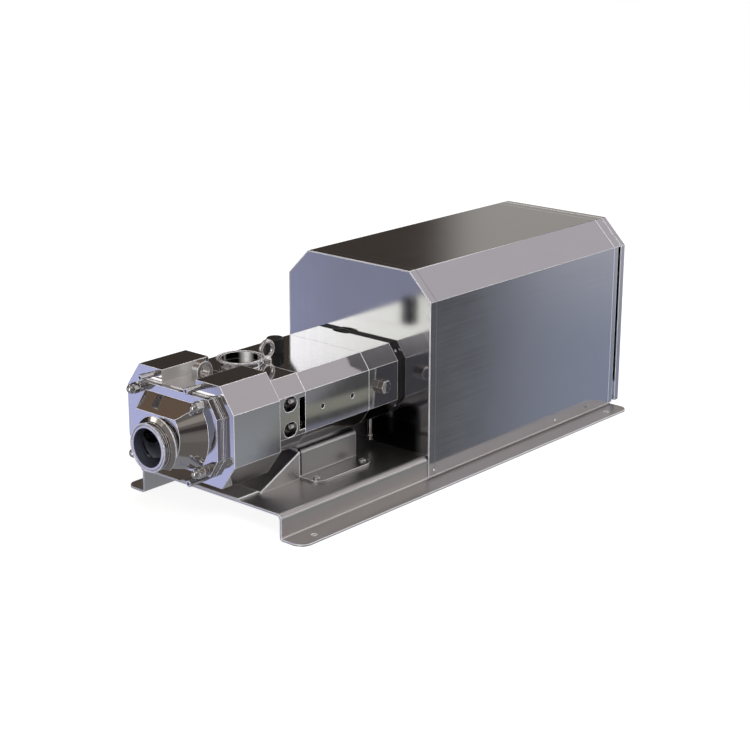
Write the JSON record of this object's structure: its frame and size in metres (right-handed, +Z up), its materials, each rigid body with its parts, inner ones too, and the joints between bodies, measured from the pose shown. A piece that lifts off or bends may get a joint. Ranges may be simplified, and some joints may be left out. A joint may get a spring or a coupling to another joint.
{
  "type": "twin screw pump",
  "caption": "Hygienic twin screw pump with clamp ports on a bent sheet base, driven by a motor under a sheet shroud.",
  "frame": {"origin": "under the middle of the whole set, on the ground: the bottom centre of the bounding box", "axes": "+X from the suction port to the back of the shroud, along the pump; +Y to the side of the drive shaft; +Z up"},
  "size_m": [1.231, 0.4746, 0.416],
  "materials": {
    "polished_steel": "mirror polished stainless steel",
    "satin_sheet": "satin stainless sheet",
    "bright_fasteners": "bright stainless fasteners and fittings",
    "black_plastic": "matt black moulded plastic",
    "black_paint": "black coated steel",
    "black_rubber": "black rubber",
    "seal_carbide": "dark seal ring carbide",
    "motor_paint": "grey blue paint",
    "fan_plastic": "black moulded plastic",
    "motor_sheet": "grey blue painted sheet",
    "winding": "laminated core with varnished winding",
    "machined_steel": "machined steel"
  },
  "bodies": {
    "pump_set": {"baseplate": "satin_sheet", "pump_bracket": "satin_sheet", "bracket_bolts": "bright_fasteners", "drip_ramp": "satin_sheet", "shroud_shell": "satin_sheet", "shroud_screws": "bright_fasteners", "shroud_front_panel": "satin_sheet", "shroud_rear_cover": "satin_sheet", "suction_ferrule": "polished_steel", "front_cover": "polished_steel", "cover_spacer": "polished_steel", "cover_seal": "black_rubber", "cover_studs": "bright_fasteners", "cover_bushes": "bright_fasteners", "cover_nuts": "bright_fasteners", "casing_ties": "bright_fasteners", "casing_head": "polished_steel", "casing_body": "polished_steel", "casing_body_screws": "bright_fasteners", "discharge_ferrule": "polished_steel", "lifting_lug": "bright_fasteners", "seal_seats": "seal_carbide", "gear_case_front": "polished_steel", "gear_case_rear": "polished_steel", "bearing_outer_races": "machined_steel", "bearing_retainer": "machined_steel", "oil_seals": "black_rubber", "oil_plugs": "bright_fasteners", "oil_drain": "bright_fasteners", "breather_cap": "black_plastic", "eye_bolt": "bright_fasteners", "adapter_plate": "black_paint", "adapter_screws": "bright_fasteners", "bell_housing": "motor_paint", "motor_frame": "motor_paint", "motor_shields": "motor_paint", "motor_stator": "winding", "motor_bearings": "machined_steel", "motor_rails": "machined_steel", "motor_foot_bolts": "bright_fasteners", "motor_fan_cowl": "motor_sheet", "motor_terminal_box": "motor_sheet"},
    "motor_rotor": {"motor_shaft": "machined_steel", "motor_fan": "fan_plastic", "motor_coupling_half": "machined_steel"},
    "drive_rotor": {"drive_screw": "polished_steel", "drive_shaft": "polished_steel", "drive_seal_ring": "seal_carbide", "drive_inner_races": "machined_steel", "drive_timing_gear": "machined_steel", "drive_shaft_nuts": "machined_steel", "pump_coupling_half": "machined_steel", "coupling_spider": "black_rubber"},
    "driven_rotor": {"driven_screw": "polished_steel", "driven_shaft": "polished_steel", "driven_seal_ring": "seal_carbide", "driven_inner_races": "machined_steel", "driven_timing_gear": "machined_steel", "driven_shaft_nuts": "machined_steel"}
  },
  "joints": [
    {"name": "motor_spin", "type": "hinge", "parent": "pump_set", "child": "motor_rotor", "pos_m": [0.2, 0.033, 0.196], "axis": [1, 0, 0], "continuous": true},
    {"name": "drive_spin", "type": "hinge", "parent": "pump_set", "child": "drive_rotor", "pos_m": [-0.3, 0.033, 0.196], "axis": [1, 0, 0], "continuous": true},
    {"name": "driven_spin", "type": "hinge", "parent": "pump_set", "child": "driven_rotor", "pos_m": [-0.3, -0.033, 0.196], "axis": [1, 0, 0], "continuous": true}
  ],
  "couplings": [
    {"joint": "drive_spin", "follows": "motor_spin", "ratio": 1},
    {"joint": "driven_spin", "follows": "motor_spin", "ratio": -1}
  ]
}
